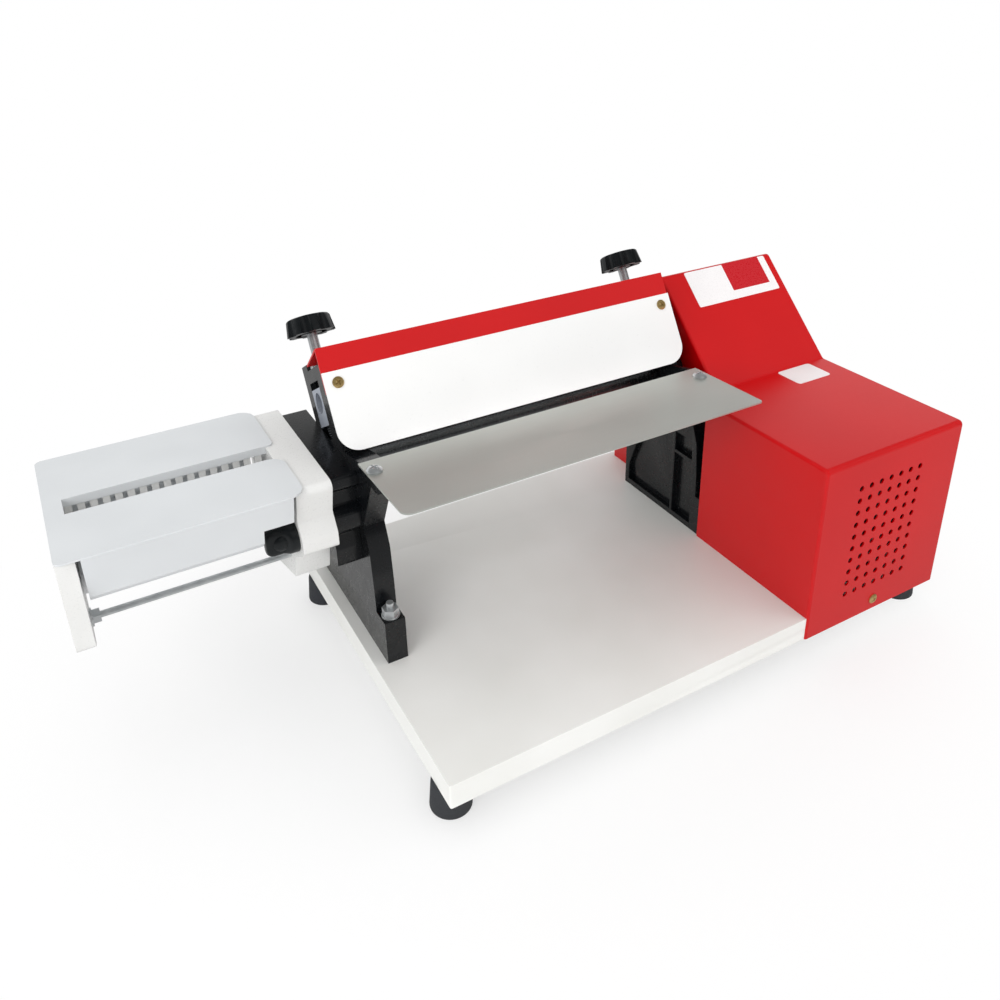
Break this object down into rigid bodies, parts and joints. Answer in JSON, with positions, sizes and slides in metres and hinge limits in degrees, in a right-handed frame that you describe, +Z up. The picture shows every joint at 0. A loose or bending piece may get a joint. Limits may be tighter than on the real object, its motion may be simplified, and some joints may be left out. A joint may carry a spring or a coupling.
{
  "type": "fondant sheeter",
  "caption": "Bench-top electric fondant sheeter: driven rollers under a guard and feed tray, lobed gap-adjusting knobs, red drive housing and a strip-cutting head on a laminated board.",
  "frame": {"origin": "centre of the overall box on the plane the feet stand on", "axes": "+X along the rollers from the cutting head to the drive housing, +Y from the feed side to the back, +Z up"},
  "size_m": [0.6518, 0.3022, 0.2798],
  "materials": {
    "board_laminate": "white melamine laminate",
    "foot_rubber": "moulded",
    "zinc_steel": "bright zinc plated",
    "black_casting": "gloss black enamel",
    "red_enamel": "red powder coat",
    "white_enamel": "white powder coat",
    "label_film": "printed film, blank",
    "brass_screw": "yellow passivated",
    "tray_stainless": "brushed stainless",
    "roller_steel": "ground and hard chromed",
    "bronze_bush": "turned bronze",
    "block_zinc": "milled",
    "spring_steel": "wound wire",
    "knob_plastic": "moulded",
    "gear_steel": "hobbed, oiled",
    "gear_nylon": "cut nylon",
    "pulley_alloy": "turned",
    "belt_rubber": "moulded",
    "plate_steel": "galvanised",
    "motor_enamel": "grey enamel",
    "stator_windings": "laminated iron and varnished copper",
    "capacitor_case": "moulded",
    "switch_black": "moulded",
    "gland_black": "moulded nylon",
    "cutter_plastic": "moulded white",
    "cutter_sheet": "white enamel",
    "cutter_comb": "moulded white",
    "cutter_steel": "ground"
  },
  "bodies": {
    "frame": {"base_board": "board_laminate", "rubber_feet": "foot_rubber", "foot_screws": "zinc_steel", "left_bracket": "black_casting", "right_bracket": "black_casting", "bracket_bolts": "zinc_steel", "housing_cover": "red_enamel", "housing_screws": "brass_screw", "slope_label": "label_film", "rating_label": "label_film", "guard_plate": "white_enamel", "top_cover": "red_enamel", "guard_screws": "brass_screw", "feed_tray": "tray_stainless", "tray_screws": "zinc_steel", "lower_scraper": "tray_stainless", "adjust_nuts": "zinc_steel", "block_springs": "spring_steel", "shaft_bushes": "bronze_bush", "drive_belt": "belt_rubber", "drive_plate": "plate_steel", "motor_casing": "motor_enamel", "motor_stator": "stator_windings", "drive_bolts": "zinc_steel", "run_capacitor": "capacitor_case", "power_switch": "switch_black", "cord_gland": "gland_black", "cutter_adapter": "black_casting", "cutter_end_block": "cutter_plastic", "cutter_end_plate": "cutter_plastic", "cutter_front_plate": "cutter_sheet", "cutter_rear_plate": "cutter_sheet", "cutter_combs": "cutter_comb", "cutter_tie_rods": "zinc_steel"},
    "lower_roller": {"lower_roller": "roller_steel", "lower_sync_gear": "gear_steel", "drive_gear": "gear_nylon", "cutter_drive_gear": "gear_steel"},
    "roller_carriage": {"left_slider_block": "block_zinc", "right_slider_block": "block_zinc"},
    "upper_roller": {"upper_roller": "roller_steel", "upper_sync_gear": "gear_steel"},
    "left_adjuster": {"left_adjust_screw": "zinc_steel", "left_knob": "knob_plastic"},
    "right_adjuster": {"right_adjust_screw": "zinc_steel", "right_knob": "knob_plastic"},
    "countershaft": {"countershaft": "gear_steel", "pinion": "gear_steel", "large_pulley": "pulley_alloy"},
    "motor_rotor": {"motor_shaft": "gear_steel", "motor_pulley": "pulley_alloy", "rotor_core": "gear_steel"},
    "front_cutter": {"front_cutting_roller": "cutter_steel", "cutter_input_gear": "gear_steel", "front_pair_gear": "gear_steel"},
    "rear_cutter": {"rear_cutting_roller": "cutter_steel", "rear_pair_gear": "gear_steel"},
    "lock_knob": {"lock_knob": "knob_plastic"},
    "switch_rocker": {"switch_rocker": "switch_black"}
  },
  "joints": [
    {"name": "lower_roller_spin", "type": "hinge", "parent": "frame", "child": "lower_roller", "pos_m": [0.02113, 0.05307, 0.17671], "axis": [1, 0, 0], "continuous": true},
    {"name": "carriage_slide", "type": "slide", "parent": "frame", "child": "roller_carriage", "axis": [0, 0.5, 0.866], "range_m": [0, 0.005], "deforming": ["block_springs"]},
    {"name": "upper_roller_spin", "type": "hinge", "parent": "roller_carriage", "child": "upper_roller", "pos_m": [0.02113, 0.07522, 0.21507], "axis": [1, 0, 0], "continuous": true},
    {"name": "left_knob_turn", "type": "hinge", "parent": "roller_carriage", "child": "left_adjuster", "pos_m": [-0.12137, 0.10165, 0.26084], "axis": [0, 0.5, 0.866], "range_deg": [0, 1440]},
    {"name": "right_knob_turn", "type": "hinge", "parent": "roller_carriage", "child": "right_adjuster", "pos_m": [0.16813, 0.10165, 0.26084], "axis": [0, 0.5, 0.866], "range_deg": [0, 1440]},
    {"name": "countershaft_spin", "type": "hinge", "parent": "frame", "child": "countershaft", "pos_m": [0.21613, 0.05307, 0.12871], "axis": [1, 0, 0], "continuous": true},
    {"name": "motor_spin", "type": "hinge", "parent": "frame", "child": "motor_rotor", "pos_m": [0.26113, -0.0859, 0.104], "axis": [1, 0, 0], "continuous": true},
    {"name": "front_cutter_spin", "type": "hinge", "parent": "frame", "child": "front_cutter", "pos_m": [-0.23887, 0.0436, 0.153], "axis": [1, 0, 0], "continuous": true},
    {"name": "rear_cutter_spin", "type": "hinge", "parent": "frame", "child": "rear_cutter", "pos_m": [-0.23887, 0.0726, 0.153], "axis": [1, 0, 0], "continuous": true},
    {"name": "lock_knob_turn", "type": "hinge", "parent": "frame", "child": "lock_knob", "pos_m": [-0.17487, 0.0144, 0.1495], "axis": [1, 0, 0], "range_deg": [0, 90]},
    {"name": "switch_rock", "type": "hinge", "parent": "frame", "child": "switch_rocker", "pos_m": [0.31833, -0.0779, 0.161], "axis": [0, 1, 0], "range_deg": [-20, 0]}
  ],
  "couplings": [
    {"joint": "upper_roller_spin", "follows": "lower_roller_spin", "ratio": -1},
    {"joint": "countershaft_spin", "follows": "lower_roller_spin", "ratio": -3.5714},
    {"joint": "motor_spin", "follows": "lower_roller_spin", "ratio": -14.286},
    {"joint": "front_cutter_spin", "follows": "lower_roller_spin", "ratio": -1},
    {"joint": "rear_cutter_spin", "follows": "lower_roller_spin", "ratio": 1},
    {"joint": "left_knob_turn", "follows": "carriage_slide", "rad_per_m": 5026.5},
    {"joint": "right_knob_turn", "follows": "carriage_slide", "rad_per_m": 5026.5}
  ]
}
